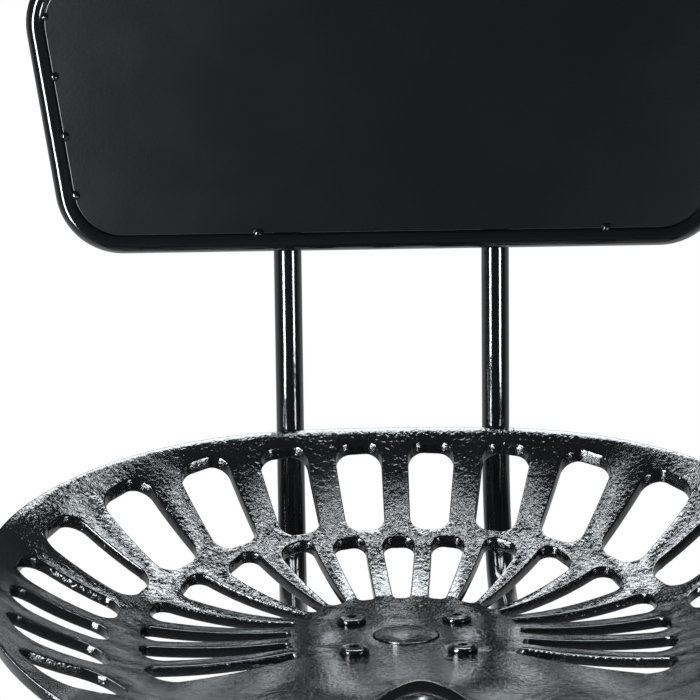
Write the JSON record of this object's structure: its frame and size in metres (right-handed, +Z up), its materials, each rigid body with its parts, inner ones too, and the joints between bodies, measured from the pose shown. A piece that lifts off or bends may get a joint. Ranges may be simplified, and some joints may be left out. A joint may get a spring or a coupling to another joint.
{
  "type": "tractor seat stool",
  "caption": "Swivel stool with a dished, slotted cast seat, a low sheet backrest on two posts, a screw spindle, four splayed legs and a foot ring.",
  "frame": {"origin": "on the floor, on the spindle's axis", "axes": "+Z up; +Y towards the backrest, so the sitter faces -Y; +X to the right of somebody who looks along +Y"},
  "size_m": [0.4231, 0.4026, 0.953],
  "materials": {
    "cast_enamel": "gloss black enamel over a sand-cast surface",
    "black_enamel": "gloss black enamel",
    "panel_enamel": "semi-gloss black powder coat",
    "bright_steel": "oiled machined steel",
    "zinc_steel": "zinc plated",
    "nylon": "natural nylon",
    "black_plastic": "black polyethylene",
    "rubber": "black rubber"
  },
  "bodies": {
    "base": {"column_tube": "black_enamel", "threaded_nut": "bright_steel", "column_cap": "black_plastic", "leg_hub": "black_enamel", "foot_ring": "black_enamel", "foot_ring_welds": "black_enamel", "leg_front_right": "black_enamel", "glide_front_right": "rubber", "leg_rear_right": "black_enamel", "glide_rear_right": "rubber", "leg_rear_left": "black_enamel", "glide_rear_left": "rubber", "leg_front_left": "black_enamel", "glide_front_left": "rubber"},
    "guide": {"guide_bush": "nylon"},
    "seat": {"seat_casting": "cast_enamel", "seat_bolts": "black_enamel", "seat_washers": "zinc_steel", "seat_nuts": "zinc_steel", "mounting_plate": "black_enamel", "spindle": "bright_steel", "spindle_stop_washer": "zinc_steel", "spindle_stop_bolt": "zinc_steel", "backrest_post_left": "black_enamel", "backrest_post_right": "black_enamel", "post_plugs": "black_plastic", "backrest_frame": "black_enamel", "backrest_panel": "panel_enamel", "panel_tack_welds": "black_enamel", "post_to_frame_welds": "black_enamel", "post_to_plate_welds": "black_enamel"}
  },
  "joints": [
    {"name": "seat_lift", "type": "slide", "parent": "base", "child": "guide", "axis": [0, 0, 1], "range_m": [0, 0.15]},
    {"name": "seat_turn", "type": "hinge", "parent": "guide", "child": "seat", "pos_m": [0, 0, 0.35], "axis": [0, 0, 1], "range_deg": [0, 9000]}
  ],
  "couplings": [
    {"joint": "seat_lift", "follows": "seat_turn", "m_per_rad": 0.00095493}
  ]
}
